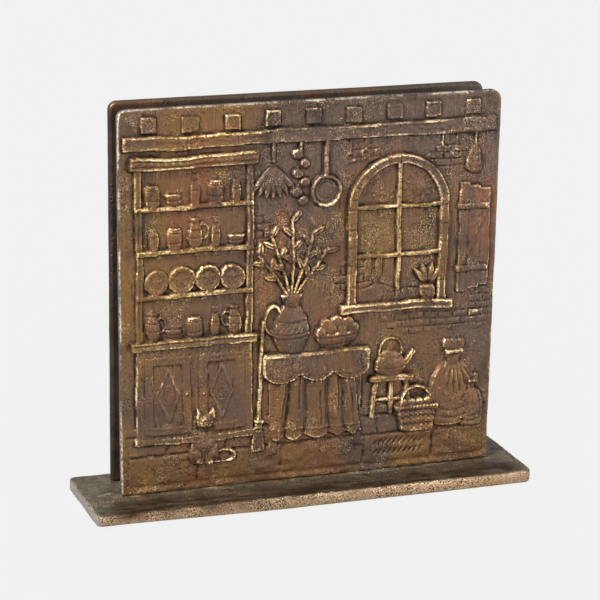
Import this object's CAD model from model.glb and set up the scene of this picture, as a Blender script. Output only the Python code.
import math
from types import SimpleNamespace

import bpy
import numpy as np
from mathutils import Matrix, Vector
from mathutils.bvhtree import BVHTree


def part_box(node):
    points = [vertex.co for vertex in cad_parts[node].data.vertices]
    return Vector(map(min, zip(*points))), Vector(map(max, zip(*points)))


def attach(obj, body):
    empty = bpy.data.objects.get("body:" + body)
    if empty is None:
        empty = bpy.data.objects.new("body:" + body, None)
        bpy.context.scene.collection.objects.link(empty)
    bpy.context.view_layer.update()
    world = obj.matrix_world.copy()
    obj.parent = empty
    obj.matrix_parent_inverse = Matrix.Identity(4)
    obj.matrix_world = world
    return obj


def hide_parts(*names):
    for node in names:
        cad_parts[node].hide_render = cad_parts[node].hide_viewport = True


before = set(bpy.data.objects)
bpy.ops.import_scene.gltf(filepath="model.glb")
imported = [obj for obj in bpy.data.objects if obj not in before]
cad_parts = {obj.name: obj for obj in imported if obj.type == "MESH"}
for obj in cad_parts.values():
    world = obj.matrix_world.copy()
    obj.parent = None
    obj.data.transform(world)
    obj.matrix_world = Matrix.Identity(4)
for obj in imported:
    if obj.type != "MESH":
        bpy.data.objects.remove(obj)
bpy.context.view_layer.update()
mm = 0.001  # surfaces are worked out in millimetres and written in metres
spare = 1.5  # a grid's margin round its plate

cameraLook = {
    "azimuth": 18.85, "elevation": 16.53, "roll": 0.77,  # degrees; it looks from the plaque's left
    "distance": 1.4019, "lens": 144.26, "farthest": 50.0,
    "aim": (-0.0052, -0.0060, 0.1184),
}
stageLook = {
    "floorGlow": 0.856, "floorColor": (0.06, 0.06, 0.06), "floorSize": 14.0,
    "skyColor": (1.0, 1.0, 1.0), "skyStrength": 0.4,
}
lampLook = {  # place, size, watts and colour of each soft lamp; they light the plaque and not the floor
    "key": {"spot": (-1.7, -1.15, 2.1), "size": 0.7, "watts": 188.0, "color": (1.0, 0.96, 0.90)},
    "fill": {"spot": (1.1, -1.0, 0.25), "size": 0.8, "watts": 11.0, "color": (0.94, 0.96, 1.0)},
}
lampAim = (0.0, 0.0, 0.12)


def makeCamera():
    azimuth, elevation, roll = (math.radians(cameraLook[part]) for part in ("azimuth", "elevation", "roll"))
    ahead = Vector((math.sin(azimuth) * math.cos(elevation), math.cos(azimuth) * math.cos(elevation),
                    -math.sin(elevation)))
    right = Vector((math.cos(azimuth), -math.sin(azimuth), 0))
    up = right.cross(ahead)
    tiltedRight = right * math.cos(roll) + up * math.sin(roll)
    tiltedUp = up * math.cos(roll) - right * math.sin(roll)
    place = Vector(cameraLook["aim"]) - ahead * cameraLook["distance"]
    camera = bpy.data.objects.new("camera", bpy.data.cameras.new("camera"))
    camera.data.lens = cameraLook["lens"]
    camera.data.clip_end = cameraLook["farthest"]
    turn = Matrix((tiltedRight, tiltedUp, -ahead)).transposed()
    camera.matrix_world = Matrix.Translation(place) @ turn.to_4x4()
    bpy.context.scene.collection.objects.link(camera)
    bpy.context.scene.camera = camera


def makeStage():
    half = stageLook["floorSize"] / 2
    corners = [(-half, -half, 0), (half, -half, 0), (half, half, 0), (-half, half, 0)]
    mesh = bpy.data.meshes.new("floor")
    mesh.from_pydata(corners, [], [(0, 1, 2, 3)])
    floor = bpy.data.objects.new("floor", mesh)
    bpy.context.scene.collection.objects.link(floor)
    paint = bpy.data.materials.new("floorPaint")
    paint.use_nodes = True
    shader = paint.node_tree.nodes["Principled BSDF"]
    for name, value in (("Base Color", (*stageLook["floorColor"], 1)), ("Emission Color", (1, 1, 1, 1)),
                        ("Emission Strength", stageLook["floorGlow"]), ("Roughness", 1.0),
                        ("Specular IOR Level", 0.0)):
        shader.inputs[name].default_value = value
    mesh.materials.append(paint)
    world = bpy.data.worlds.new("studio")
    world.use_nodes = True
    sky = world.node_tree.nodes["Background"]
    sky.inputs["Color"].default_value = (*stageLook["skyColor"], 1)
    sky.inputs["Strength"].default_value = stageLook["skyStrength"]
    bpy.context.scene.world = world
    bpy.context.scene.view_settings.view_transform = "Standard"


def makeLamps(lit):
    for name, look in lampLook.items():
        lamp = bpy.data.lights.new(name, "AREA")
        lamp.shape = "DISK"
        lamp.size = look["size"]
        lamp.energy = look["watts"]
        lamp.color = look["color"]
        holder = bpy.data.objects.new(name, lamp)
        holder.location = look["spot"]
        toward = Vector(lampAim) - Vector(look["spot"])
        holder.rotation_euler = toward.to_track_quat("-Z", "Y").to_euler()
        holder.light_linking.receiver_collection = lit
        bpy.context.scene.collection.objects.link(holder)


makeCamera()
makeStage()
print("camera and stage made")


def smoothStep(low, high, value):
    share = np.clip((value - low) / (high - low), 0, 1)
    return share * share * (3 - 2 * share)


def softNoise(x, z, seed):  # about -1 to 1, changing over one unit
    size = 64
    lattice = np.random.default_rng(seed).uniform(-1, 1, (size, size))
    gx, gz = np.asarray(x) + 7.3, np.asarray(z) + 3.1
    column, row = np.floor(gx).astype(int), np.floor(gz).astype(int)
    fx, fz = gx - column, gz - row
    fx, fz = fx * fx * (3 - 2 * fx), fz * fz * (3 - 2 * fz)
    return blended(lattice, row, column, fz, fx)


def blended(field, row, column, up, along):  # between the four values round a spot; the field repeats
    rows, columns = field.shape
    around = [[field[(row + i) % rows, (column + j) % columns] for j in (0, 1)] for i in (0, 1)]
    low, high = (left * (1 - along) + right * along for left, right in around)
    return low * (1 - up) + high * up


def noiseOn(x, z):  # soft noise on a grid, from how wide and how high its patches are
    return lambda wide, high, seed: softNoise(x / wide, z / high, seed)


def blurred(field, cells):
    reach = int(np.ceil(cells * 2.5))
    weights = np.exp(-0.5 * (np.arange(-reach, reach + 1) / cells) ** 2)
    weights /= weights.sum()
    rows, columns = field.shape
    wide = np.pad(field, reach, mode="edge")
    tall = sum(w * wide[:, k:k + columns] for k, w in enumerate(weights))
    return sum(w * tall[k:k + rows] for k, w in enumerate(weights))


def roundedFacets(field, reach, tolerance):  # smooths small steps and keeps large ones
    total, mass = np.zeros_like(field), np.zeros_like(field)
    wide = np.pad(field, reach, mode="edge")
    rows, columns = field.shape
    for i in range(2 * reach + 1):
        for j in range(2 * reach + 1):
            near = math.exp(-((i - reach) ** 2 + (j - reach) ** 2) / (reach * reach))
            other = wide[i:i + rows, j:j + columns]
            weight = near * np.exp(-(((other - field) / tolerance) ** 2))
            total += weight * other
            mass += weight
    return total / mass


# Each plate is a closed slab between two height fields. Its u and v start at its lower left corner.
def outlineDepth(look, u, v):  # how far a point lies inside the plate's uneven outline
    topLeft, topRight, lowLeft, lowRight = look.corners
    (left, leftTop), (right, rightTop) = look.sides
    left, right = left + (leftTop - left) * v / look.height, right + (rightTop - right) * v / look.height
    middle, halfHeight = (left + right) / 2, look.height / 2
    onLeft, below = u < middle, v < halfHeight
    corner = np.where(below, np.where(onLeft, lowLeft, lowRight), np.where(onLeft, topLeft, topRight))
    outU = np.abs(u - middle) - ((right - left) / 2 - corner)
    outV = np.abs(v - halfHeight) - (halfHeight - corner)
    outside = np.hypot(np.maximum(outU, 0), np.maximum(outV, 0)) + np.minimum(np.maximum(outU, outV), 0)
    long, short = look.wave, look.wave / 7
    uneven = 0.35 * softNoise(u / long, v / long, look.seed)
    uneven = uneven + 0.15 * softNoise(u / short, v / short, look.seed + 60)
    return corner - outside - look.wear * (0.5 + uneven)


def plateGrid(look):
    u = np.arange(-spare, look.width + spare + look.step / 2, look.step)
    v = np.arange(-spare, look.height + spare + look.step / 2, look.step)
    return np.meshgrid(u, v)


def castSlab(name, look, u, v, near, far, toFrame):
    probe, snap = 0.05, 0.3 * look.step
    for _ in range(4):  # what is outside, or nearly on the outline, moves onto it
        d = outlineDepth(look, u, v)
        du = (outlineDepth(look, u + probe, v) - d) / probe
        dv = (outlineDepth(look, u, v + probe) - d) / probe
        move = np.where(d < snap, -d, 0) / np.maximum(du * du + dv * dv, 0.3)
        u, v = u + move * du, v + move * dv
    inside = outlineDepth(look, u, v)
    edge = look.edge
    rounding = edge - np.sqrt(np.maximum(edge ** 2 - np.maximum(edge - inside, 0) ** 2, 0))
    number = np.arange(u.size).reshape(u.shape)
    cells = np.stack([number[:-1, :-1], number[:-1, 1:], number[1:, 1:], number[1:, :-1]], -1).reshape(-1, 4)
    cells = cells[inside.ravel()[cells].max(1) > 0.02]
    sides = np.concatenate([cells[:, [k, (k + 1) % 4]] for k in range(4)])
    key = sides.min(1).astype(np.int64) * u.size + sides.max(1)
    _, first, count = np.unique(key, return_index=True, return_counts=True)
    rim = sides[first[count == 1]]
    wall = np.stack([rim[:, 1], rim[:, 0], rim[:, 0] + u.size, rim[:, 1] + u.size], -1)
    faces = np.concatenate([cells, cells[:, ::-1] + u.size, wall])
    points = np.concatenate([toFrame(u, near + rounding, v), toFrame(u, far - rounding, v)])
    used, renumbered = np.unique(faces, return_inverse=True)
    mesh = bpy.data.meshes.new(name)
    mesh.from_pydata((points[used] * mm).tolist(), [], renumbered.reshape(-1, 4).tolist())
    mesh.validate()
    return thinned(bpy.data.objects.new(name, mesh), look.triangles)


def thinned(obj, triangles):  # fewer faces where the surface is flat
    bpy.context.scene.collection.objects.link(obj)
    lighten = obj.modifiers.new("lighten", "DECIMATE")
    lighten.ratio = min(1.0, triangles / (2 * len(obj.data.polygons)))
    lighten.use_collapse_triangulate = True
    graph = bpy.context.evaluated_depsgraph_get()
    light = bpy.data.meshes.new_from_object(obj.evaluated_get(graph))
    obj.modifiers.clear()
    obj.data = light
    light.polygons.foreach_set("use_smooth", np.ones(len(light.polygons), bool))
    return obj


def standing(x, y, z):  # from an upright plate's grid to the frame, and back
    return (lambda u, w, v: np.stack([u + x, w + y, v + z], -1).reshape(-1, 3),
            lambda spots: (spots[:, 0] - x, spots[:, 1] - y, spots[:, 2] - z))


def lying(x, y, thickness):  # the same for a flat one, whose w runs down from its top
    return (lambda u, w, v: np.stack([u + x, v + y, -w], -1).reshape(-1, 3),
            lambda spots: (spots[:, 0] - x, thickness - spots[:, 2], spots[:, 1] - y))


def sampled(field, look, u, v):  # a grid field's value at any place
    rows, columns = field.shape
    column = np.clip((u + spare) / look.step, 0, columns - 1.001)
    row = np.clip((v + spare) / look.step, 0, rows - 1.001)
    j, i = column.astype(int), row.astype(int)
    return blended(field, i, j, row - i, column - j)


def markWear(obj, look, fields, toGrid):  # wear on each point, from the side that it is on and from the edges
    spots = np.empty(len(obj.data.vertices) * 3, np.float32)
    obj.data.vertices.foreach_get("co", spots)
    u, w, v = toGrid(spots.reshape(-1, 3) / mm)
    nearSide = w < look.thickness / 2
    inside = outlineDepth(look, u, v)
    arris = np.exp(-(((inside - 0.3 * look.edge) / 0.45) ** 2)) * np.where(nearSide, 1.0, look.farArris)
    arris *= 0.6 + 0.4 * softNoise(u / 5, v / 5, look.seed + 40)
    arris *= 1 - sampled(fields["hollow"][0], look, u, v) * nearSide
    for name, (onNear, onFar, onEdge) in fields.items():
        value = np.where(nearSide, sampled(onNear, look, u, v), sampled(onFar, look, u, v))
        mark(obj, name, np.maximum(value, onEdge * arris))
    bareTop = look.bareTop * smoothStep(look.height - 5, look.height - 2, v)
    mark(obj, "rim", smoothStep(0.75 * look.edge, 0.05, inside) * (1 - bareTop))


def mark(obj, name, values):
    layer = obj.data.attributes.new(name, "FLOAT", "POINT")
    layer.data.foreach_set("value", values.astype(np.float32))


def wearOf(rise, step):  # where a surface stands proud of its surroundings, and where it lies below them
    fine = rise - blurred(rise, 0.55 / step)
    broad = rise - blurred(rise, 2.4 / step)
    ridge = np.clip(smoothStep(0.10, 0.40, fine) + 0.35 * smoothStep(0.5, 1.8, broad), 0, 1)
    hollow = np.clip(smoothStep(0.06, 0.20, -fine) + 0.25 * smoothStep(0.2, 1.3, -broad), 0, 1)
    return ridge, hollow


def castPlate(name, look, u, v, surfaces, place, fields):
    toFrame, toGrid = place
    plate = castSlab(name, look, u, v, *surfaces, toFrame)
    markWear(plate, look, fields, toGrid)
    print(name, "made,", len(plate.data.polygons), "faces")
    return plate


def finished(obj, slot, material, *nodes):
    obj.data.materials.append(material)
    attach(obj, "root")
    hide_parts(*nodes)
    return obj


kitchen = {  # the layout in millimetres, from the relief panel's lower left corner
    "beam": {"left": 2, "right": 228, "bottom": 205, "top": 213},
    "joists": {"count": 9, "left": 5, "right": 225, "bottom": 215, "top": 224},
    "dresser": {"left": 9, "right": 79, "bottom": 30, "counter": 88, "counterTop": 93, "top": 194,
                "cornice": 201, "post": 4, "shelves": (118, 144, 170), "board": 2.6},
    "wares": {"crock": (11, 13, (0.3, 0.78, 0.9)), "bottle": (7, 19.5, (0.42, 0.7, 0.93)),
              "jug": (11, 18, (0.36, 0.62, 0.86)), "bowl": (12, 7, (0.5, 0.9))},  # width, height and bands
    "shelfWares": (("jug", "bowl", "crock", "bottle", "jug"), (),
                   ("bottle", "crock", "jug", "bottle", "bowl"),
                   ("crock", "bowl", "bottle", "crock", "bottle")),
    "doors": {"count": 2, "inset": 5, "bottom": 36, "top": 83, "frame": 5},
    "sash": {"middle": 168, "halfWidth": 31, "sill": 104, "spring": 163, "frame": 5.5},
    "shutter": {"left": 206, "right": 226, "bottom": 108, "top": 174},
    "table": {"left": 86, "right": 150, "top": 79},
    "cloth": {"left": 92, "right": 144, "bottom": 25, "folds": 5, "gather": 0.14, "spread": 0.1},
    "overcloth": {"left": 85, "right": 151, "drop": 11, "swags": 3, "depth": 7},
    "jug": {"x": 103, "width": 25, "height": 35},
    "branches": {"count": 5, "spread": 46, "length": 48, "leaves": 4, "leaf": 10.5},
    "bowl": {"x": 131, "width": 29, "height": 10},
    "stool": {"x": 166, "width": 27, "seat": 56, "board": 3.6},
    "kettle": {"x": 165, "width": 21, "height": 19},
    "basket": {"x": 182, "bottom": 23.5, "width": 25, "height": 15},
    "cat": {"x": 50, "bottom": 16, "body": 25},
    "sacks": ({"x": 205, "bottom": 25, "halfWidth": 16.5, "height": 62},
              {"x": 217.5, "bottom": 23, "halfWidth": 9, "height": 38}),
    "broom": {"x": 82.5, "bottom": 20, "head": 20, "width": 8.5},
    "hangings": {"herbs": 91, "onions": 107, "pan": 123, "ham": 215,
                 "ladles": ((138, 9), (147, 7), (194, 7), (203, 10))},  # place and length
    "paving": {"bottom": 4.5, "middle": 22.7, "top": 34.5,
               "joints": ((4, 46, 97, 149, 193), (4, 28, 63, 90, 124, 158, 190))},
    "cuts": {"left": 155, "right": 187, "rows": (17.2, 11.2), "count": 10, "height": 3.6, "lean": 1.1},
    "bricks": {"course": 4.4, "length": 9.5, "patches": (  # middle, half width and half height of each
        (190, 92, 30, 9), (140, 122, 12, 12), (200, 192, 14, 9), (84, 152, 6, 14), (146, 196, 9, 6),
        (222, 98, 8, 14))},
}
relief = SimpleNamespace()  # the modelled grid: x and z on the layout, u and v on the plate, and the rise


def thing(name):
    return SimpleNamespace(**kitchen[name])


def spaced(count, low, high):
    return [low + (i + 0.5) * (high - low) / count for i in range(count)]


def window(low, high, margin):
    step, start = relief.step, relief.start
    first = [int(max((a - margin + b) / step, 0)) for a, b in zip(low, start)]
    last = [int((a + margin + b) / step) + 2 for a, b in zip(high, start)]
    return slice(first[1], last[1]), slice(first[0], last[0])


def stroke(points, width, rise):  # a drawn line, raised or cut in
    points = np.array(points, float)
    part = window(points.min(0), points.max(0), 3 * width + 1.5)
    x, z = relief.x[part], relief.z[part]
    away = np.full(x.shape, 1e9)
    for start, end in zip(points[:-1], points[1:]):
        run = end - start
        share = np.clip(((x - start[0]) * run[0] + (z - start[1]) * run[1]) / max(run @ run, 1e-9), 0, 1)
        away = np.minimum(away, np.hypot(x - start[0] - share * run[0], z - start[1] - share * run[1]))
    relief.rise[part] += rise * np.exp(-((away / width) ** 2))


def line(x0, z0, x1, z1, width, rise):
    stroke([(x0, z0), (x1, z1)], width, rise)


def dot(x, z, radius, rise):
    line(x, z, x, z, radius, rise)


def arc(x, z, radiusX, radiusZ, start=0, end=360, count=12):
    turns = np.radians(np.linspace(start, end, count))
    return np.stack([x + radiusX * np.cos(turns), z + radiusZ * np.sin(turns)], -1)


def onward(x, z, turn, reach):
    return x + reach * math.cos(turn), z + reach * math.sin(turn)


def ray(x, z, turn, near, far, width, rise):
    stroke([onward(x, z, math.radians(turn), reach) for reach in (near, far)], width, rise)


def boxMask(left, right, bottom, top, soft=0.6):
    x, z = relief.x, relief.z
    across = np.minimum(x - left, right - x)
    upright = np.minimum(z - bottom, top - z)
    return smoothStep(-soft, soft, np.minimum(across, upright))


def woodGrain(left, right, bottom, top, alongX, depth, seed):
    fine, long = 1.3, 17.0
    x, z = relief.x, relief.z
    lines = softNoise(x / long, z / fine, seed) if alongX else softNoise(x / fine, z / long, seed)
    relief.rise += depth * lines * boxMask(left, right, bottom, top)


def readCast(node, look, low, ground):  # the rise of the CAD relief above its ground, and its outline's place
    tree = BVHTree.FromObject(node, bpy.context.evaluated_depsgraph_get())
    u, v = plateGrid(look)
    soft, left, sway = noiseOn(u, v), look.sides[0][0], look.sway
    x = u - left + sway * soft(19, 23, 11) + 0.35 * sway * soft(6, 7, 12)
    z = v + sway * soft(21, 17, 13) + 0.35 * sway * soft(7, 6, 14)
    rise = np.zeros(u.shape)
    ahead = Vector((0, 1, 0))
    for i, j in np.ndindex(u.shape):
        start = Vector((low.x + (left + x[i, j]) * mm, low.y - 0.01, low.z + z[i, j] * mm))
        spot = tree.ray_cast(start, ahead)[0]
        if spot is not None:
            rise[i, j] = (ground - spot.y) / mm
    vars(relief).update(x=x, z=z, u=u, v=v, rise=np.clip(rise, -0.6, None), step=look.step)
    relief.start = (left + spare, spare)


def drawWall():  # bricks where the plaster has come off
    x, z, rise, bricks = relief.x, relief.z, relief.rise, thing("bricks")
    soft = noiseOn(x, z)
    bare = smoothStep(0.5, 0.2, rise) * smoothStep(38, 44, z)
    rise += bare * (0.12 * soft(1.5, 12, 81) + 0.2 * soft(9, 14, 82))
    row = np.floor(z / bricks.course)
    bonded = x + (row % 2) * bricks.length / 2
    along, up = np.mod(bonded, bricks.length), np.mod(z, bricks.course)
    joint = np.minimum(np.minimum(along, bricks.length - along), np.minimum(up, bricks.course - up))
    proud = 0.5 + 0.2 * softNoise(row * 3.7, np.floor(bonded / bricks.length) * 2.3, 83)
    brick = smoothStep(0.25, 0.8, joint) * proud
    for n, (middleX, middleZ, wide, high) in enumerate(bricks.patches):
        ragged = ((x - middleX) / wide) ** 2 + ((z - middleZ) / high) ** 2 + 0.5 * soft(5, 4, 84 + n)
        rise += bare * smoothStep(1.0, 0.8, ragged) * (brick - 0.15)


def drawCeiling():
    beam, joists = thing("beam"), thing("joists")
    woodGrain(beam.left, beam.right, beam.bottom, beam.top, True, 0.34, 21)
    line(beam.left, beam.bottom + 1.4, beam.right, beam.bottom + 1.4, 0.5, 0.3)
    for x in spaced(26, beam.left, beam.right):  # the adze's marks
        stroke(arc(x, beam.top + 1, 5, 5.5, 215, 325), 0.7, -0.22)
    for n, x in enumerate(spaced(joists.count, joists.left, joists.right)):
        for ring in (1.3, 2.7):  # growth rings on the sawn end
            middle = (x + 0.5 * (n % 3 - 1), (joists.bottom + joists.top) / 2)
            stroke(arc(*middle, ring, ring, count=16), 0.4, -0.3)
    for x in spaced(24, 8, 222):  # a row of laths between the joists
        line(x, joists.top + 1.2, x + 1.5, joists.top + 3.6, 0.6, 0.3)


def drawDresser():
    d = thing("dresser")
    for left, right in ((d.left, d.left + d.post), (d.right - d.post, d.right)):
        woodGrain(left, right, d.counterTop, d.top, False, 0.25, 31)
        line((left + right) / 2, d.counterTop + 2, (left + right) / 2, d.top - 2, 0.5, -0.35)
    woodGrain(d.left, d.right, d.bottom, d.counter, False, 0.22, 32)
    for z in (d.counter + 3.2, d.top + 2.2, d.cornice - 1.8):  # mouldings
        line(d.left - 3, z, d.right + 3, z, 0.5, -0.45)
    for x in spaced(17, d.left - 2, d.right + 2):  # the cornice's dentils
        line(x, d.top + 3.4, x, d.top + 4.6, 0.8, 0.35)
    for z in d.shelves:
        line(d.left + 4, z + d.board / 2, d.right - 4, z + d.board / 2, 0.45, 0.25)
    inner = spaced(6, d.left + d.post, d.right - d.post)
    for x in inner[:-1]:  # back boards seen between the wares
        x += (inner[1] - inner[0]) / 2
        line(x, d.counterTop, x, d.top, 0.35, -0.16)
    for n, z in enumerate(d.shelves[:2]):  # cups hung under the shelves
        for x in spaced(6 - n, d.left + 8, d.right - 8):
            dot(x, z - 1.8, 1.1, 0.8)


def drawDoors():
    d, doors = thing("dresser"), thing("doors")
    half = ((d.right - d.left - doors.inset) / doors.count - doors.inset) / 2
    middle, rim = (doors.bottom + doors.top) / 2, 2.2
    bottom, top = doors.bottom + doors.frame, doors.top - doors.frame
    for x in spaced(doors.count, d.left + doors.inset / 2, d.right - doors.inset / 2):
        left, right = x - half + doors.frame, x + half - doors.frame
        diamond = [(x, top - 3), (right - rim, middle), (x, bottom + 3), (left + rim, middle), (x, top - 3)]
        stroke(diamond, 0.7, 0.65)
        for reach in (3.4, 5.6):
            stroke(arc(x, middle, reach * 0.55, reach, count=20), 0.45, 0.35)
        for z in (bottom - 2.5, top + 2.5):
            line(left - 3, z, right + 3, z, 0.35, -0.2)


def drawWares():  # necks, collars, lids and bands, and a long light down each side
    d = thing("dresser")
    levels = [d.counterTop, *(z + d.board for z in d.shelves)]
    for row, level in zip(kitchen["shelfWares"], levels):
        for kind, x in zip(row, spaced(len(row), d.left + d.post + 0.5, d.right - d.post - 0.5)):
            width, height, bands = kitchen["wares"][kind]
            for share in bands:
                reach = width * (0.2 if kind == "bottle" and share > 0.6 else 0.42)
                stroke(arc(x, level + share * height + 0.6, reach, 0.9, 190, 350), 0.4, -0.5)
            for side in (-1, 1):
                out, top = x + side * width * 0.3, (x + side * width * 0.14, level + height * 0.9)
                stroke([(out, level + height * 0.15), (out, level + height * 0.5), top], 0.5, 0.3)
            if kind == "bowl":  # heaped up
                for n in (-1, 0, 1):
                    dot(x + n * 3, level + height + 0.8 - abs(n) * 0.5, 1.5, 1.1)


def drawDishes():
    d = thing("dresser")
    z = d.shelves[0] + d.board + 7.5
    for x in spaced(4, d.left + d.post + 0.5, d.right - d.post - 0.5):
        for turn in range(0, 360, 30):
            ray(x, z, turn, 5.6, 7.0, 0.35, -0.3)
        for turn in range(0, 360, 72):
            ray(x, z, turn + 18, 0.8, 3.4, 0.6, 0.4)


def drawWindow():
    s = thing("sash")
    inner = s.halfWidth - s.frame
    for turn in range(10, 180, 16):  # the arch's stones
        ray(s.middle, s.spring, turn, inner, s.halfWidth, 0.4, -0.4)
    for z in spaced(5, s.sill + 2, s.spring):
        for side in (-1, 1):
            x = s.middle + side * (s.halfWidth - s.frame / 2)
            line(x - 2.4, z + 5, x + 2.4, z + 5, 0.4, -0.4)
    stroke(arc(s.middle, s.spring, inner - 0.9, inner - 0.9, 0, 180, 30), 0.45, 0.35)
    for turn in range(0, 360, 30):  # sunbeams
        ray(s.middle + inner * 0.45, s.spring + inner * 0.4, turn, 6.3, 8.6, 0.45, 0.5)
    for n, (x, z) in enumerate(((153, 170), (158, 158), (180, 150), (175, 140), (155, 146))):  # clouds
        stroke(arc(x, z, 5.5 - n * 0.4, 1.8, 10, 190), 0.55, 0.45)
        stroke(arc(x + 4, z - 0.8, 4, 1.4, 10, 190), 0.5, 0.35)
    for n in range(6):  # ploughed hills
        stroke(arc(s.middle - inner * 0.5, s.sill - 4, 5 + n * 3, 18 - n * 0.4, 35, 150), 0.4, -0.3)
        stroke(arc(s.middle + inner * 0.35, s.sill - 3, 4 + n * 3.4, 12, 25, 160), 0.4, -0.3)
    for side in (-0.72, -0.46):  # cypresses
        for lean in (-0.8, 0.8):
            x = s.middle + inner * side + lean
            line(x, s.sill + 15, x - lean * 0.6, s.sill + 33, 0.35, -0.35)
    line(s.middle - 34, s.sill - 2.4, s.middle + 34, s.sill - 2.4, 0.5, -0.4)
    woodGrain(s.middle - 35, s.middle + 35, s.sill - 4.5, s.sill + 1, True, 0.2, 36)


def drawShutter():
    s = thing("shutter")
    woodGrain(s.left, s.right, s.bottom, s.top, False, 0.35, 41)
    for z in (s.bottom + 14, s.top - 14):
        for x in spaced(3, s.left, s.right):
            dot(x, z, 0.7, 0.6)
    line(s.left + 2, s.bottom + 16, s.right - 2, s.top - 16, 1.1, 0.6)


def drawHangings():
    hook, h = kitchen["beam"]["bottom"], thing("hangings")
    for turn in range(-126, -53, 8):
        ray(h.herbs, hook - 10, turn, 4, 24, 0.4, -0.3)
    for z in (hook - 11, hook - 13):
        line(h.herbs - 2.4, z, h.herbs + 2.4, z + 0.4, 0.5, 0.6)
    for n in range(6):
        x, z = h.onions + (2.2 if n % 2 else -2.2), hook - 7 - n * 5.6
        for bend in (-1.6, 0, 1.6):
            stroke(arc(x, z, abs(bend) + 0.1, 3, 90, 270 if bend < 0 else -90, 8), 0.35, -0.25)
        line(x, z + 2.6, h.onions, z + 5.4, 0.5, 0.6)
    stroke(arc(h.pan, hook - 30, 5.2, 5.2, count=24), 0.45, -0.3)
    for n in range(9):  # dimples, each 40 radians on from the last
        dot(*onward(h.pan, hook - 30, 40 * n, 3), 0.9, 0.25)
    for z in (hook - 10, hook - 13.5, hook - 17):  # the ham's net
        stroke(arc(h.ham, z + 3, 5.4, 3.4, 205, 335), 0.4, -0.35)
    for side in (-2.5, 0, 2.5):
        line(h.ham + side, hook - 23, h.ham + side * 0.5, hook - 8, 0.4, -0.35)
    for x, drop in h.ladles:  # and skimmers, at the window's shoulders
        line(x, hook, x, hook - drop, 0.6, 0.9)
        stroke(arc(x, hook - drop - 2.4, 2.4, 2.4, count=14), 0.8, 0.8)


def drawTable():
    t, c, o = thing("table"), thing("cloth"), thing("overcloth")
    middle, width = (c.left + c.right) / 2, c.right - c.left
    height, level = t.top - 1 - c.bottom, t.top - o.drop
    phase = np.linspace(0, 1, 600)
    turns = c.folds * (phase + 0.05 * np.sin(7 * phase))
    for n in range(1, 2 * c.folds):  # each valley between two folds, and a crease on each fold
        share = phase[np.argmin(np.abs(turns - n / 2))] - 0.5
        if share > 0.46:
            continue
        points = []
        for z in np.linspace(level - 4, c.bottom + 4, 8):
            fall = 1 - c.gather + (c.gather + c.spread) * (t.top - 1 - z) / height
            points.append((middle + share * width * fall + 0.5 * math.sin(z * 0.25 + n), z))
        if n % 2:
            stroke(points[1:], 1.3, 0.5)
            stroke([(x + 1.6, z) for x, z in points[n % 3:5 + n % 3]], 0.6, -0.45)
        else:
            stroke(points, 1.2, -0.8)
    for share in np.linspace(-0.5, 0.5, 34):  # stitches
        x = middle + share * width * 1.06
        line(x - 0.5, c.bottom + 7, x + 0.5, c.bottom + 7.4, 0.4, 0.35)
    half = (o.right - o.left) / o.swags / 2
    for x in spaced(o.swags, o.left, o.right):
        for inset in (2.0, 3.6):
            stroke(arc(x, level, half - inset, o.depth - inset + 1, 186, 354, 14), 0.4, -0.35)
        for turn in range(195, 350, 15):  # the fringe
            ends = [arc(x, level, half + out, o.depth + down, turn, turn, 1)[0]
                    for out, down in ((-1, -0.6), (0.6, 1.6))]
            stroke(ends, 0.45, 0.45)
        for side in (-0.5, 0, 0.5):  # slack folds fanning from the table's edge
            line(x + side * 6, t.top - 2.5, x + side * 14, level - 1, 0.9, -0.4)
    line(t.left, t.top - 1.2, t.right, t.top - 1.2, 0.6, 0.35)


def drawTableWares():
    level, j, b = kitchen["table"]["top"], thing("jug"), thing("bowl")
    half = j.width / 2
    for share, wide in ((0.26, 0.88), (0.34, 0.97), (0.56, 0.88), (0.8, 0.5), (0.97, 0.55)):
        stroke(arc(j.x, level + share * j.height + 1.6, half * wide, 1.8, 190, 350), 0.5, -0.45)
    for x, z in arc(j.x, level + 0.46 * j.height, half * 0.9, 1.6, 200, 340, 9):  # leaves round the belly
        line(x - 1, z - 1.4, x + 1, z + 1.8, 0.6, 0.5)
    for share in (0.3, 0.75):
        reach = b.width * (0.3 + 0.2 * share)
        stroke(arc(b.x, level + share * b.height + 1.2, reach, 1.4, 195, 345), 0.45, -0.4)
    for n in range(-3, 4):
        line(b.x + n * 2.4, level + 1.5, b.x + n * 3.4, level + b.height * 0.7, 0.5, -0.3)


def drawBranches():
    j, b = thing("jug"), thing("branches")
    rootX, rootZ = j.x, kitchen["table"]["top"] + j.height - 2
    half = b.leaf / 2
    for i, lean in enumerate(spaced(b.count, b.spread, -b.spread)):
        turn = math.radians(90 + lean)
        length = b.length * (1 - 0.14 * abs(i - 2))
        for k in range(b.leaves):
            share, side = 0.43 + 0.18 * k, -0.75 if k % 2 else 0.75
            x, z = onward(rootX, rootZ, turn, length * share)
            line(x, z, *onward(x, z, turn + side, half * 1.7), 0.4, -0.5)
            x, z = onward(x, z, turn, 3)
            for width, rise in ((1.1, 0.9), (0.35, -0.4)):  # fainter leaves across from each
                line(x, z, *onward(x, z, turn - side, half * 1.3), width, rise)


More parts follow.
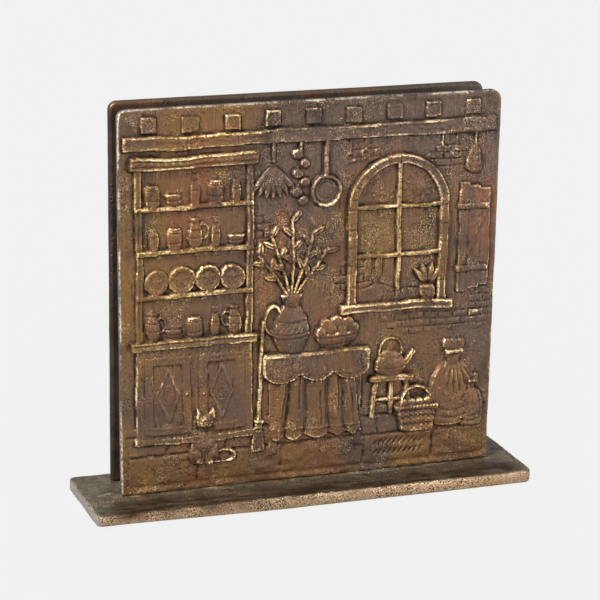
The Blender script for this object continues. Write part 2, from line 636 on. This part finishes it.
def drawFloorThings():
    s, k, b = thing("stool"), thing("kettle"), thing("basket")
    base = s.seat + s.board
    woodGrain(s.x - s.width / 2, s.x + s.width / 2, s.seat, base, True, 0.25, 61)
    for share, wide in ((0.24, 1.0), (0.6, 0.78), (0.82, 0.42)):
        stroke(arc(k.x, base + share * k.height + 1.2, k.width / 2 * wide, 1.3, 195, 345), 0.45, -0.4)
    half, rim = b.width * 0.43, b.bottom + b.height
    body = boxMask(b.x - half, b.x + half, b.bottom + 1, rim - 2)
    relief.rise += 0.32 * np.sin(relief.x * 1.9) * np.sin(relief.z * 2.5) * body  # wickerwork
    for x in spaced(12, b.x - b.width / 2, b.x + b.width / 2):
        line(x - 0.7, rim - 1.2, x + 0.7, rim + 1.2, 0.4, -0.45)


def drawCat():
    x, foot, body = kitchen["cat"].values()
    face = foot + body + 1
    for side in (-1, 1):
        stroke(arc(x + side * 2.4, face + 1.4, 1.3, 0.9, 200, 340, 6), 0.35, -0.55)  # closed eyes
        for n in (-1, 1):
            line(x + side * 2, face - 1.6, x + side * 6, face - 1.6 + n, 0.3, 0.25)
        stroke(arc(x + side * 1.0, face - 2.2, 1.0, 0.9, 180, 360, 6), 0.3, -0.35)
        for n in range(4):  # stripes
            z, reach = foot + 8 + n * 3.6, 8.2 - n * 1.1
            line(x + side * reach, z, x + side * (reach - 3), z + 1.2, 0.4, -0.3)
        stroke(arc(x + side * 5.4, foot + 5.6, 3.6, 4.8, 90, 90 + side * 150, 10), 0.5, -0.5)  # haunch
        dot(x + side * 2.4, foot + 1.8, 1.7, 0.8)
        dot(x + side * 5.6, foot + 6.5, 2.6, 0.6)
    dot(x, face - 1.0, 0.6, 0.4)
    dot(x, foot + 13, 4.6, 0.9)
    stroke(arc(x, foot + body - 2.5, 5.2, 2.4, 195, 345, 10), 0.6, -0.6)
    line(x, foot + 1.5, x, foot + 9, 0.5, -0.4)


def drawBroom():
    b = thing("broom")
    for x in spaced(6, b.x - b.width / 2, b.x + b.width / 2):
        line(x, b.bottom, b.x + (x - b.x) * 0.35, b.bottom + b.head - 3, 0.35, -0.45)
    for z in (6, 8):
        line(b.x - 2.8, b.bottom + b.head - z, b.x + 3.0, b.bottom + b.head - z, 0.45, 0.45)


def drawSacks():
    for sack in kitchen["sacks"]:
        x, bottom, wide, tall = sack.values()
        neck = bottom + tall * 0.74
        for n in range(-3, 4):  # soft folds that fall from the tie
            foot = (x + n * wide * 0.26, neck - tall * (0.44 - 0.05 * abs(n)))
            knee = (x + n * wide * 0.13, neck - tall * 0.16)
            stroke([(x + n * wide * 0.07, neck - 1.5), knee, foot], 1.0, -0.6)
            line(knee[0] + 1.3, knee[1], foot[0] + 1.6, foot[1] + 3, 0.9, 0.5)
        for n in range(-2, 3):  # the frill over it
            line(x + n * wide * 0.08, neck + 2, x + n * wide * 0.15, neck + tall * 0.13, 0.45, -0.45)
        for n in (-0.6, 0.6):
            line(x - wide * 0.34, neck + n, x + wide * 0.34, neck + n, 0.4, 0.45)
        for n, share in enumerate((0.06, 0.13)):  # it sags at the foot
            reach = wide * (0.85 - 0.25 * n)
            stroke(arc(x, bottom + tall * (share + 0.1), reach, tall * 0.08, 200, 340), 0.8, -0.45)
        seam = arc(x + wide * 0.3, bottom + tall * 0.32, wide * 0.3, tall * 0.26, -75, 60)
        stroke(seam, 0.4, -0.4)
        for spot in seam[::2]:
            line(spot[0] - 1, spot[1], spot[0] + 1, spot[1] + 0.3, 0.35, 0.35)


def drawPaving():
    p, cuts, soft = thing("paving"), thing("cuts"), noiseOn(relief.x, relief.z)
    floor = smoothStep(p.top + 1, p.top - 1, relief.z) * smoothStep(2.2, 1.2, relief.rise)
    relief.rise += floor * (0.22 * soft(5, 3.5, 71) + 0.12 * soft(1.8, 1.4, 72))
    for row, level in enumerate((p.bottom + 9, (p.middle + p.top) / 2)):
        for n, joint in enumerate(p.joints[row]):  # a crack across some stones
            if (n + row) % 3 == 0:
                stroke([(joint + 12, level + 4), (joint + 16, level), (joint + 15, level - 4)], 0.35, -0.35)
    for row, level in enumerate(cuts.rows):  # two rows of slanting cuts that aren't letters
        for i, x in enumerate(spaced(cuts.count, cuts.left, cuts.right)):
            reach = cuts.height * (0.36 + 0.07 * ((i * 2 + row) % 3))
            line(x - cuts.lean, level - reach, x + cuts.lean, level + reach, 0.45, -0.45)


def drawToolMarks():  # the modeller's tool, dragged mostly up and down through the wax
    chance, strokes = np.random.default_rng(5), 520
    for _ in range(strokes):
        x, z, length = (chance.uniform(*span) for span in ((5, 225), (6, 222), (4, 17)))
        lean, bend = chance.normal(0, 0.12), chance.normal(0, 0.4)
        points = [(x, z), (x + lean * length / 2 + bend, z + length / 2), (x + lean * length, z + length)]
        width, rise = chance.uniform(0.3, 0.65), chance.uniform(-0.26, 0.14)
        stroke(points, width, rise)
        if rise < -0.12:  # the burr beside a cut
            stroke([(a + 1.1 * width, b) for a, b in points], 0.8 * width, -0.8 * rise)


def drawBorder(look):  # the raised, pressed rim round the panel
    u, v = relief.u, relief.v
    soft, inside = noiseOn(u, v), outlineDepth(look, u, v)
    uneven = 0.5 + 0.5 * soft(7, 7, 91)
    relief.rise += 0.3 * uneven * np.exp(-(((inside - 2.0) / 1.2) ** 2))
    bead = smoothStep(6.5, 4.5, v)  # brazed on and half melted away
    melted = blurred(relief.rise, 1.5 / look.step)
    melted *= np.clip(0.55 + 0.45 * soft(9, 30, 92) + 0.3 * soft(2.5, 3, 93), 0, 1)
    relief.rise += bead * (melted - relief.rise)


panelLook = {
    "width": 232.5, "height": 229.0, "thickness": 5.5, "step": 0.5, "corners": (5.0, 6.5, 1.0, 1.0),
    "sides": ((0.9, 0.0), (230.9, 232.5)),  # the left and the right side, at the bottom and at the top
    "wear": 0.35, "wave": 26.0, "seed": 3, "edge": 1.0, "triangles": 190000, "farArris": 0.0, "bareTop": 0.0,
    "sway": 0.8,  # how far the modeller's hand strays from a true line
    "lip": 0.6,  # how strongly edges are pressed up, with a groove beside them
    "roundness": 0.7,
    "melt": 0.3,  # how far the forms sink into each other in places
}
backLook = {
    "width": 230.0, "height": 229.0, "thickness": 5.5, "step": 1.0, "corners": (5.0, 5.5, 1.0, 1.0),
    "sides": ((0.0, 0.5), (230.0, 230.0)),
    "wear": 0.45, "wave": 44.0, "seed": 8, "edge": 1.2, "triangles": 56000, "farArris": 0.4, "bareTop": 0.75,
    "unevenness": 0.3,
}
footLook = {
    "width": 271.0, "height": 69.0, "thickness": 8.0, "step": 0.75, "corners": (3.5, 5.0, 4.0, 6.0),
    "sides": ((1.3, 0.0), (271.0, 269.2)),
    "wear": 0.45, "wave": 30.0, "seed": 15, "edge": 1.3, "triangles": 76000, "farArris": 0.5, "bareTop": 0.0,
    "unevenness": 0.25,
    "lift": 1.6,  # how far the underside curls up at the front left
    "knocks": 0.24, "braze": 0.5,  # how deep the front edge is knocked, and how high the braze stands
}


def makeReliefPanel():
    look = SimpleNamespace(**panelLook)
    low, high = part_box("relief_panel")
    ground = high.y - look.thickness * mm
    readCast(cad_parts["relief_panel"], look, low, ground)
    print("relief read from the frame")
    u, v, step = relief.u, relief.v, look.step
    soft = noiseOn(u, v)
    rise = roundedFacets(relief.rise, 3, look.roundness)
    rise = blurred(rise, 0.28 / step) * (0.9 + 0.1 * soft(31, 27, 15))
    melt = look.melt * smoothStep(0.0, 0.8, soft(24, 20, 16))
    rise += melt * (blurred(rise, 1.2 / step) - rise)
    proud = rise - blurred(rise, 1.0 / step)
    relief.rise = rise + look.lip * (1 - 0.5 * melt) * np.clip(proud, -0.55, 0.5)
    for draw in (drawWall, drawCeiling, drawDresser, drawDoors, drawWares, drawDishes, drawWindow,
                 drawShutter, drawHangings, drawTable, drawTableWares, drawBranches, drawFloorThings,
                 drawCat, drawBroom, drawSacks, drawPaving, drawToolMarks):
        draw()
    drawBorder(look)
    rise = relief.rise + 0.10 * soft(4, 5, 95) + 0.06 * soft(1.6, 2.0, 96)
    rise = np.clip(rise, -0.9, (ground - low.y) / mm - 0.02)
    back = look.thickness - 0.35 - 0.3 * soft(30, 26, 97) - 0.04 * soft(3, 3, 98)
    ridge, hollow = wearOf(rise, step)
    ridge *= smoothStep(3, 7, v) * (0.6 + 0.4 * smoothStep(0.5, 3.0, blurred(rise, 2 / step)))
    plain = np.zeros_like(ridge)
    place = standing(*np.array((low.x, ground, low.z)) / mm)
    fields = {"ridge": (ridge, plain, 0.95), "hollow": (hollow, plain + 0.8, 0.0)}
    return castPlate("reliefPanel", look, u, v, (-rise, back), place, fields)


def inMillimetres(box):
    return (SimpleNamespace(x=corner.x / mm, y=corner.y / mm, z=corner.z / mm) for corner in box)


def makeBackPlate():
    look = SimpleNamespace(**backLook)
    low, _ = inMillimetres(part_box("back_plate"))
    u, v = plateGrid(look)
    soft, depth = noiseOn(u, v), look.unevenness
    near = depth * (1 + soft(24, 30, 101)) / 2 + 0.05 * soft(4, 5, 102) + 0.06
    far = look.thickness - depth * (1 + soft(28, 20, 103)) / 2 - 0.05 * soft(5, 4, 104)
    inside = outlineDepth(look, u, v)
    lip = 0.3 * np.exp(-(((inside - 1.5) / 1.1) ** 2)) * (0.6 + 0.4 * soft(9, 9, 105))
    near, far = near + 0.3 - lip, far - 0.36 + lip
    ridge, hollow = wearOf(4 * blurred(-near, 2.0), look.step)
    other, under = wearOf(4 * blurred(far, 2.0), look.step)
    dusty = 0.9 + 0.1 * soft(15, 20, 106)  # nobody reaches between the plates
    dusty = np.maximum(hollow, dusty * smoothStep(2.5, 5.5, look.height - v))
    place = standing(low.x, low.y, low.z)
    fields = {"ridge": (0.4 * ridge, 0.6 * other, 0.3), "hollow": (dusty, under, 0.0)}
    return castPlate("backPlate", look, u, v, (near, far), place, fields)


def makeFootPlate():
    look, thickness = SimpleNamespace(**footLook), footLook["thickness"]
    low, _ = inMillimetres(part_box("foot_plate"))
    panelLow, panelHigh = inMillimetres(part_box("relief_panel"))
    u, v = plateGrid(look)
    x, y, soft = u + low.x, v + low.y, noiseOn(u, v)
    near = look.unevenness * (1 + soft(26, 18, 111)) / 2 + 0.11 * soft(5, 4, 112) + 0.16
    near += 0.10 * soft(16, 1.7, 113)  # drawn out lengthways by the file
    near += look.knocks * smoothStep(4.5, 0.5, v) * soft(2.6, 1.9, 119)
    plates = (panelLow, panelHigh), inMillimetres(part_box("back_plate"))
    for plateLow, plateHigh in plates:
        across = np.maximum(plateHigh.y - backLook["thickness"] - y, y - plateHigh.y)
        along = np.maximum(plateLow.x - x, x - plateHigh.x)
        away = np.hypot(np.maximum(across, 0), np.maximum(along, 0))
        braze = 0.6 + 0.3 * soft(4, 4, 114) + 0.25 * soft(1.7, 1.7, 118)
        near -= look.braze * smoothStep(3.8, 0.2, away) * braze
    along = np.minimum(x - panelLow.x, panelHigh.x - x)
    inFront = panelHigh.y - backLook["thickness"] - y
    fromFront, fromLeft = v + 0.9 * soft(3.5, 2, 120), u / look.width
    waxed = np.maximum(smoothStep(0.6, 2.5, fromFront), smoothStep(0.62, 0.12, fromLeft))  # less to the right
    waxed *= smoothStep(36, 10, v + 5 * soft(22, 30, 115)) * smoothStep(-20, -2, along)
    waxed *= np.clip(0.86 + 0.5 * soft(12, 1.9, 116), 0.3, 1.0)  # wiped off in streaks
    seam = smoothStep(6.5, 2.0, inFront) * smoothStep(-0.5, 0.5, inFront) * smoothStep(-2, 3, along)
    seam *= smoothStep(-0.5, 0.6, soft(8, 2.5, 117))
    scuffs = smoothStep(0.15, 0.7, soft(6, 1.9, 121))
    scuffs *= smoothStep(-0.4, 0.5, soft(13, 9, 122)) * (1 - 0.5 * waxed)
    near = np.clip(near, 0.0, 0.9) - thickness
    curl = smoothStep(9, 0, v) * smoothStep(0.45, 0.02, fromLeft) * look.lift
    ridge, hollow = wearOf(4 * blurred(-near, 1.5), look.step)
    rubbed = np.maximum(np.maximum(0.6 * ridge, 0.7 * seam), 0.45 * scuffs)
    plain = np.zeros_like(u)
    fields = {"ridge": (rubbed, plain, 0.65), "hollow": (np.maximum(0.5 * hollow, waxed), plain, 0.0)}
    return castPlate("footPlate", look, u, v, (near, -curl), lying(low.x, low.y, thickness), fields)


# Shader nodes: each function adds one to the tree that its linked inputs come from, and gives its output.
def feed(socket, value):
    if isinstance(value, bpy.types.NodeSocket):
        socket.id_data.links.new(value, socket)
    else:
        socket.default_value = value


def put(tree, kind, inputs, **settings):
    node = tree.nodes.new("ShaderNode" + kind)
    for name, value in settings.items():
        setattr(node, name, value)
    for key, value in inputs.items():
        feed(node.inputs[key], value)
    return node.outputs


def after(kind, inputs, output=0, **settings):
    tree = next(value.id_data for value in inputs.values() if isinstance(value, bpy.types.NodeSocket))
    return put(tree, kind, inputs, **settings)[output]


def reckoned(kind, operation):  # a function that adds such a node
    return lambda first, second, **more: after(kind, {0: first, 1: second}, operation=operation, **more)


times, plus, minus, least = (reckoned("Math", way) for way in ("MULTIPLY", "ADD", "SUBTRACT", "MINIMUM"))
stretched, moved = (reckoned("VectorMath", way) for way in ("MULTIPLY", "ADD"))


def spread(value, low, high, toLow=0.0, toHigh=1.0):  # a softened step from one value to another
    inputs = {"Value": value, "From Min": low, "From Max": high, "To Min": toLow, "To Max": toHigh}
    return after("MapRange", inputs, interpolation_type="SMOOTHSTEP")


def noise(vector, scale, detail, roughness):
    inputs = {"Vector": vector, "Scale": scale, "Detail": detail, "Roughness": roughness}
    return after("TexNoise", inputs, "Fac")


def mixed(share, first, second, how="MIX"):
    return after("Mix", {0: share, 6: first, 7: second}, 2, data_type="RGBA", blend_type=how)


def newGroup(name, **inputs):  # a shared effect; an input with no first value is a vector
    group = bpy.data.node_groups.new(name, "ShaderNodeTree")
    kinds = {float: "NodeSocketFloat", tuple: "NodeSocketColor", type(None): "NodeSocketVector"}
    for label, value in inputs.items():
        socket = group.interface.new_socket(label, in_out="INPUT", socket_type=kinds[type(value)])
        if value is not None:
            socket.default_value = value
    return group, group.nodes.new("NodeGroupInput").outputs


def giveOut(group, **results):
    given = group.nodes.new("NodeGroupOutput")
    for label, value in results.items():
        kind = "NodeSocketColor" if value.type == "RGBA" else "NodeSocketFloat"
        group.interface.new_socket(label, in_out="OUTPUT", socket_type=kind)
        group.links.new(value, given.inputs[label])
    return group


def makeEdgeWear():  # where hands have rubbed the metal bare, and where dark wax stays
    group, given = newGroup("edgeWear", vector=None, ridge=0.0, hollow=0.0, rub=1.0, breaks=0.6,
                            wearPatches=60.0)
    place, patches = given["vector"], given["wearPatches"]
    broad = spread(noise(place, patches, 3.0, 0.6), 0.40, 0.60, 0.25, 1.3)
    fine = spread(noise(place, times(patches, 16.0), 2.0, 0.6), 0.36, 0.6, 0.25, 1.2)
    worn = times(times(given["ridge"], times(broad, fine)), given["rub"])
    gaps = spread(noise(place, times(patches, 3.0), 4.0, 0.65), 0.6, 0.36)
    grime = times(given["hollow"], minus(1.08, times(gaps, given["breaks"])))
    return giveOut(group, rubbed=least(worn, 1.0), grime=least(grime, 1.0))


def makeMottledPatina():  # patina colours in soft, broken patches, golden in some regions and cool in others
    anyColor = (0.2, 0.15, 0.1, 1.0)
    group, given = newGroup("mottledPatina", vector=None, regions=9.0, patches=30.0, contrast=1.0,
                            main=anyColor, warm=anyColor, cool=anyColor, red=anyColor, dark=anyColor)
    scale = given["patches"]
    shifted = stretched(given["vector"], (1.3, 1.3, 0.8))
    again = moved(shifted, (7.7, 9.1, 2.9))
    region = spread(noise(shifted, given["regions"], 2.0, 0.5), 0.34, 0.66, -0.12, 0.12)
    lean = after("VectorMath", {0: given["vector"], 1: (0.9, 0.0, 0.7)}, "Value", operation="DOT_PRODUCT")
    region = plus(minus(region, lean), 0.08)  # more golden to the left and lower down
    warm = spread(plus(noise(moved(shifted, (3.3, 6.1, 1.9)), scale, 5.0, 0.6), region), 0.40, 0.70)
    cool = noise(moved(shifted, (3.1, 1.7, 5.3)), times(scale, 0.7), 4.0, 0.55)
    cool = spread(minus(cool, region), 0.40, 0.72)
    red = spread(noise(moved(shifted, (5.9, 2.3, 8.1)), times(scale, 1.2), 5.0, 0.6), 0.50, 0.68)
    dark = spread(noise(again, times(scale, 1.6), 5.0, 0.62), 0.53, 0.72)
    color = given["main"]
    for name, share in (("warm", warm), ("cool", cool), ("red", red), ("dark", dark)):
        color = mixed(times(share, given["contrast"], use_clamp=True), color, given[name])
    streaks = noise(stretched(again, (1.0, 1.0, 0.1)), times(scale, 30.0), 2.0, 0.5)
    tone = plus(times(streaks, 0.3), times(noise(again, times(scale, 90.0), 2.0, 0.75), 0.7))
    return giveOut(group, color=color, tone=tone, cool=cool)


def makeCastGrain():  # sand grain, pits and the modeller's brush strokes, as a height and masks
    group, given = newGroup("castGrain", vector=None, grainScale=1.0, pits=1.0, strokes=1.0)
    place = after("VectorMath", {0: given["vector"], "Scale": given["grainScale"]}, operation="SCALE")
    sand, lumps = noise(place, 1900.0, 2.0, 0.75), noise(place, 260.0, 2.0, 0.5)
    brushed = noise(stretched(place, (1.0, 1.0, 0.1)), 1000.0, 2.0, 0.5)
    cells = after("TexVoronoi", {"Vector": place, "Scale": 420.0}, "Distance", feature="F1")
    pitted = times(spread(cells, 0.34, 0.16), spread(noise(place, 34.0, 3.0, 0.6), 0.48, 0.62))
    pitted = times(pitted, given["pits"])
    cluster = noise(moved(place, (0.0, 0.0, 4.7)), 60.0, 4.0, 0.6)
    rough = spread(cluster, 0.43, 0.62, 0.25, 1.15)
    height = plus(times(brushed, given["strokes"]), times(sand, rough))
    height = minus(plus(height, times(lumps, 0.28)), times(pitted, 0.9))
    specks = times(spread(noise(place, 1900.0, 1.0, 0.5), 0.57, 0.66), spread(cluster, 0.48, 0.68, 0.12, 1.0))
    flecks = spread(noise(moved(place, (2.3, 0.9, 0.0)), 1700.0, 1.0, 0.5), 0.55, 0.64)
    flecks = times(flecks, rough, use_clamp=True)
    return giveOut(group, height=height, specks=specks, flecks=flecks, pitted=pitted, rough=rough)


edgeWear = makeEdgeWear()
mottledPatina = makeMottledPatina()
castGrain = makeCastGrain()
print("shader groups made")


def use(tree, group, look, **links):  # a shared effect in a finish, with the finish's own values
    node = tree.nodes.new("ShaderNodeGroup")
    node.node_tree = group
    for socket in node.inputs:
        feed(socket, links[socket.name] if socket.name in links else look[socket.name])
    return node.outputs


def bronze(name, look):
    material = bpy.data.materials.new(name)
    material.use_nodes = True
    tree = material.node_tree
    shader = tree.nodes["Principled BSDF"].inputs
    look = {key: (*value, 1.0) if isinstance(value, tuple) else value for key, value in look.items()}
    place = put(tree, "TexCoord", {})["Object"]
    ridge, hollow, rim = (put(tree, "Attribute", {}, attribute_name=layer)["Fac"]
                          for layer in ("ridge", "hollow", "rim"))
    patina = use(tree, mottledPatina, look, vector=place)
    wear = use(tree, edgeWear, look, vector=place, ridge=ridge, hollow=hollow)
    grain = use(tree, castGrain, look, vector=place)
    rubbed, grime, deep = wear["rubbed"], wear["grime"], look["deep"]
    fromMiddle = after("Math", {0: after("SeparateXYZ", {0: place}, "X")}, operation="ABSOLUTE")
    atEnds = spread(fromMiddle, look["endsFrom"], look["endsFrom"] + 0.003)
    rimColor = mixed(atEnds, look["rim"], look["endRim"])
    color = mixed(times(rim, look["rimShare"]), patina["color"], rimColor)
    tone = spread(patina["tone"], 0.34, 0.66, 0.45, 1.68)
    color = mixed(least(grain["rough"], 1.0), color, tone, "MULTIPLY")
    gold = mixed(rim, mixed(patina["cool"], look["gold"], look["rose"]), look["rimBright"])
    bright = mixed(rim, look["bright"], look["rimBright"])
    color = mixed(spread(rubbed, 0.05, 0.6), color, gold)
    color = mixed(spread(rubbed, 0.5, 1.0), color, bright)
    specks = times(grain["specks"], spread(rim, 0.0, 1.0, look["specks"], look["rimSpecks"]), use_clamp=True)
    flecks = times(grain["flecks"], spread(rim, 0.0, 1.0, look["flecks"], look["rimSpecks"]), use_clamp=True)
    color = mixed(specks, color, mixed(0.2, gold, bright))
    for dirt in (flecks, grime, times(grain["pitted"], 0.55)):
        color = mixed(dirt, color, deep)
    feed(shader["Base Color"], color)
    feed(shader["Metallic"], look["metallic"])
    rough = spread(patina["tone"], 0.3, 0.7, look["roughest"], look["smoothest"])
    rough = plus(minus(rough, times(rubbed, 0.14)), times(grime, 0.15), use_clamp=True)
    feed(shader["Roughness"], rough)
    bump = {"Strength": look["bump"], "Distance": look["grainDepth"], "Height": grain["height"]}
    feed(shader["Normal"], after("Bump", bump))
    return material


reliefBronzeLook = {
    "main": (0.118, 0.062, 0.033), "warm": (0.168, 0.090, 0.030), "cool": (0.092, 0.058, 0.043),
    "red": (0.170, 0.070, 0.032), "dark": (0.044, 0.030, 0.025), "deep": (0.013, 0.009, 0.007),
    "gold": (0.56, 0.36, 0.12), "rose": (0.53, 0.35, 0.20), "bright": (0.95, 0.77, 0.48),
    "rim": (0.046, 0.040, 0.036), "rimShare": 0.9, "rimBright": (0.66, 0.60, 0.53), "rimSpecks": 1.0,
    "endsFrom": 0.112, "endRim": (0.070, 0.064, 0.066),
    "regions": 9.0, "patches": 22.0, "contrast": 1.0,
    "wearPatches": 50.0, "rub": 1.1, "breaks": 0.72,
    "grainScale": 1.0, "pits": 0.8, "strokes": 0.8, "specks": 0.95, "flecks": 0.75,
    "metallic": 0.65, "roughest": 0.50, "smoothest": 0.28, "bump": 1.0, "grainDepth": 0.00036,
}
backBronzeLook = {
    "main": (0.116, 0.068, 0.044), "warm": (0.160, 0.076, 0.042), "cool": (0.086, 0.070, 0.054),
    "red": (0.190, 0.075, 0.040), "dark": (0.050, 0.038, 0.030), "deep": (0.030, 0.021, 0.015),
    "gold": (0.28, 0.17, 0.08), "rose": (0.26, 0.17, 0.11), "bright": (0.52, 0.38, 0.24),
    "rim": (0.052, 0.044, 0.034), "rimShare": 0.95, "rimBright": (0.20, 0.18, 0.15), "rimSpecks": 0.3,
    "endsFrom": 0.111, "endRim": (0.062, 0.060, 0.048),
    "regions": 12.0, "patches": 24.0, "contrast": 0.85,
    "wearPatches": 40.0, "rub": 0.7, "breaks": 0.35,
    "grainScale": 0.8, "pits": 1.0, "strokes": 0.6, "specks": 0.3, "flecks": 0.4,
    "metallic": 0.75, "roughest": 0.60, "smoothest": 0.36, "bump": 0.8, "grainDepth": 0.00035,
}
footBronzeLook = {
    "main": (0.185, 0.138, 0.092), "warm": (0.142, 0.132, 0.100), "cool": (0.235, 0.155, 0.090),
    "red": (0.250, 0.195, 0.140), "dark": (0.055, 0.045, 0.034), "deep": (0.034, 0.018, 0.009),
    "gold": (0.42, 0.34, 0.19), "rose": (0.50, 0.33, 0.18), "bright": (0.80, 0.66, 0.46),
    "rim": (0.400, 0.246, 0.138), "rimShare": 0.75, "rimBright": (0.66, 0.49, 0.28), "rimSpecks": 2.6,
    "endsFrom": 0.131, "endRim": (0.300, 0.275, 0.262),
    "regions": 10.0, "patches": 85.0, "contrast": 1.3,
    "wearPatches": 48.0, "rub": 1.1, "breaks": 0.2,
    "grainScale": 0.9, "pits": 1.0, "strokes": 0.4, "specks": 1.4, "flecks": 1.3,
    "metallic": 0.75, "roughest": 0.50, "smoothest": 0.30, "bump": 1.0, "grainDepth": 0.00060,
}

pieces = (
    finished(makeReliefPanel(), "relief_bronze", bronze("reliefBronze", reliefBronzeLook), "relief_panel"),
    finished(makeBackPlate(), "back_bronze", bronze("backBronze", backBronzeLook), "back_plate"),
    finished(makeFootPlate(), "foot_bronze", bronze("footBronze", footBronzeLook), "foot_plate"),
)
lit = bpy.data.collections.new("lit")
for piece in pieces:
    lit.objects.link(piece)
makeLamps(lit)
print("bronze, wear and lamps made")

print("sizes written")
